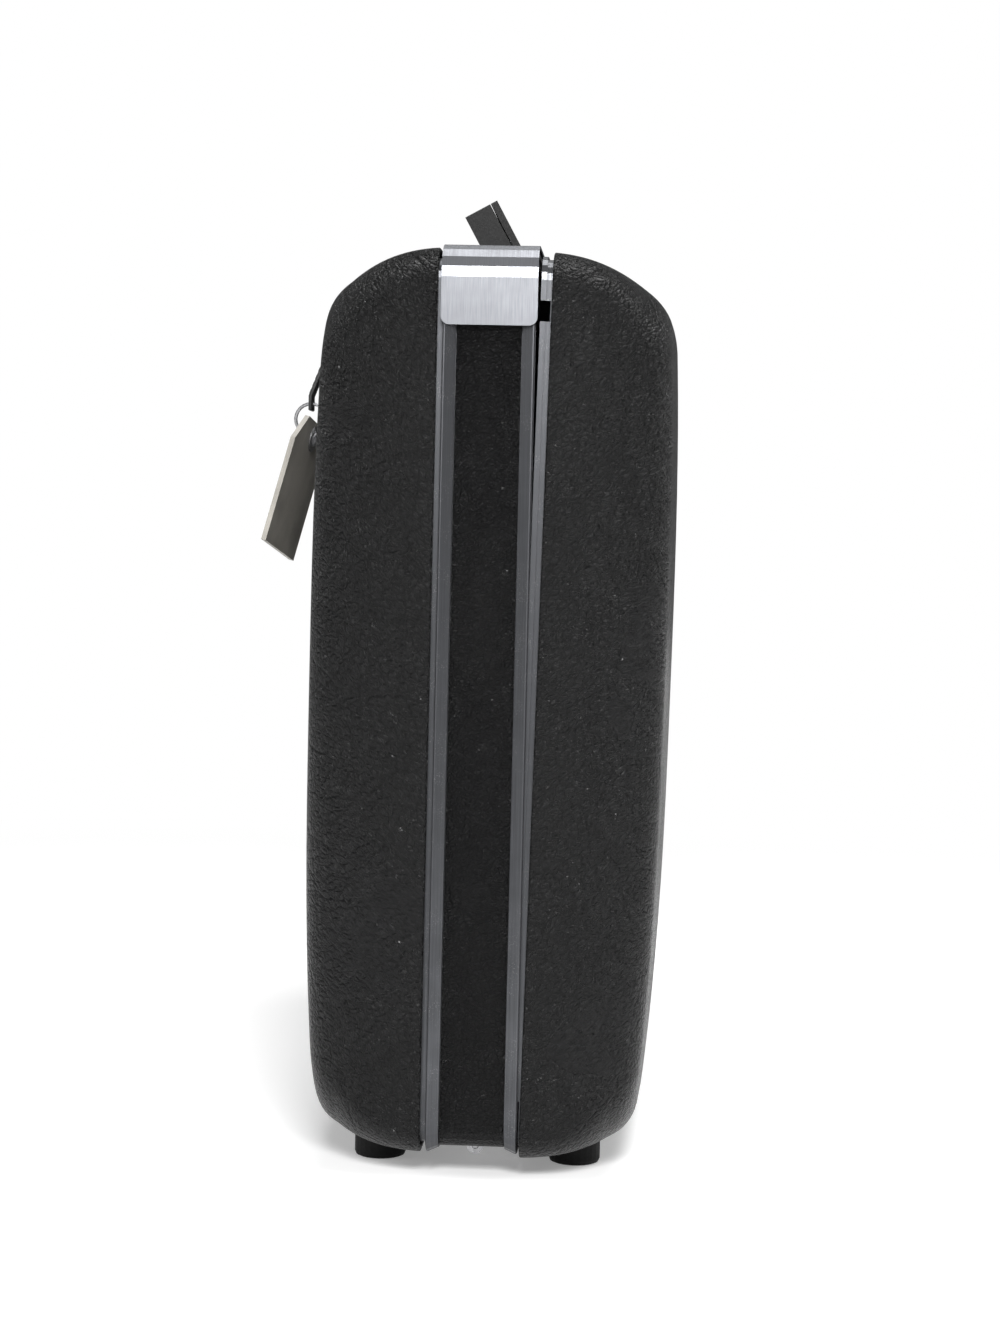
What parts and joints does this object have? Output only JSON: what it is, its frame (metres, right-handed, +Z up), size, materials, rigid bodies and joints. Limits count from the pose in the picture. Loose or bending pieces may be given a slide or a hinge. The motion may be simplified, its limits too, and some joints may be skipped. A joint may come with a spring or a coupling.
{
  "type": "hard-shell briefcase",
  "caption": "Hard-shell attache case standing on its hinge side: two grained shells, a band frame with inlay, a top plate with handle, sliding latches and locks, and a luggage tag.",
  "frame": {"origin": "centre of the overall box on the floor, with the case standing on its four feet and the lid a degree ajar", "axes": "+X from the base half towards the lid half, +Y along the case, +Z up from the hinge side to the handle"},
  "size_m": [0.1692, 0.4576, 0.3769],
  "materials": {
    "grained_shell": "moulded leather grain, satin",
    "grained_inlay": "grained vinyl, semi-gloss",
    "satin_grey_rail": "dark satin with bright lip",
    "brushed_plate": "satin grey",
    "plated_steel": "plated",
    "handle_black": "matte",
    "black_rubber": "matte",
    "grey_lining": "woven",
    "grey_tag": "satin",
    "black_strap": "plain"
  },
  "bodies": {
    "base": {"base_shell": "grained_shell", "band_inlay_near": "grained_inlay", "band_inlay_far": "grained_inlay", "base_frame": "satin_grey_rail", "top_plate": "brushed_plate", "latch_case_near": "brushed_plate", "latch_case_far": "brushed_plate", "hinge_leaf_base": "plated_steel", "hinge_pin": "plated_steel", "handle_bracket_near": "plated_steel", "handle_bracket_far": "plated_steel", "handle_pin_near": "plated_steel", "handle_pin_far": "plated_steel", "latch_spring_near": "plated_steel", "latch_spring_far": "plated_steel", "stay_guide_near": "plated_steel", "stay_guide_far": "plated_steel", "base_foot_rivet_near": "plated_steel", "base_foot_rivet_far": "plated_steel", "bracket_rivet_near_base_side": "plated_steel", "bracket_rivet_near_lid_side": "plated_steel", "bracket_rivet_far_base_side": "plated_steel", "bracket_rivet_far_lid_side": "plated_steel", "base_foot_near": "black_rubber", "base_foot_far": "black_rubber", "base_lining": "grey_lining", "tag_strap": "black_strap"},
    "lid": {"lid_shell": "grained_shell", "lid_frame": "satin_grey_rail", "lid_lining": "grey_lining", "lid_pocket": "grey_lining", "hinge_leaf_lid": "plated_steel", "lid_foot_near": "black_rubber", "lid_foot_far": "black_rubber", "lid_foot_rivet_near": "plated_steel", "lid_foot_rivet_far": "plated_steel", "striker_near": "plated_steel", "striker_far": "plated_steel", "striker_rivet_near": "plated_steel", "striker_rivet_far": "plated_steel", "stay_arm_near": "plated_steel", "stay_arm_far": "plated_steel", "stay_stop_near": "plated_steel", "stay_stop_far": "plated_steel"},
    "handle": {"handle_grip": "handle_black", "handle_cover": "handle_black", "handle_core": "plated_steel"},
    "latch_near": {"latch_thumb_near": "brushed_plate", "latch_bolt_near": "plated_steel"},
    "latch_far": {"latch_thumb_far": "brushed_plate", "latch_bolt_far": "plated_steel"},
    "lock_near": {"lock_cylinder_near": "plated_steel", "lock_cam_near": "plated_steel"},
    "lock_far": {"lock_cylinder_far": "plated_steel", "lock_cam_far": "plated_steel"},
    "tag": {"luggage_tag": "grey_tag", "tag_eyelet": "plated_steel", "tag_ring": "plated_steel"}
  },
  "joints": [
    {"name": "lid_hinge", "type": "hinge", "parent": "base", "child": "lid", "pos_m": [0.01368, 0, 0.0075], "axis": [0, 1, 0], "range_deg": [-0.9, 73]},
    {"name": "handle_pivot", "type": "hinge", "parent": "base", "child": "handle", "pos_m": [0.01148, 0, 0.3518], "axis": [0, 1, 0], "range_deg": [-56, 114]},
    {"name": "latch_near_slide", "type": "slide", "parent": "base", "child": "latch_near", "axis": [0, -1, 0], "range_m": [0, 0.012]},
    {"name": "latch_far_slide", "type": "slide", "parent": "base", "child": "latch_far", "axis": [0, 1, 0], "range_m": [0, 0.012]},
    {"name": "lock_near_turn", "type": "hinge", "parent": "base", "child": "lock_near", "pos_m": [0.00648, -0.1, 0.343], "axis": [0, 0, 1], "range_deg": [0, 90]},
    {"name": "lock_far_turn", "type": "hinge", "parent": "base", "child": "lock_far", "pos_m": [0.00648, 0.1, 0.343], "axis": [0, 0, 1], "range_deg": [0, 90]},
    {"name": "tag_swing", "type": "hinge", "parent": "base", "child": "tag", "pos_m": [-0.06972, -0.0745, 0.291], "axis": [0, 1, 0], "range_deg": [-10, 18]}
  ]
}
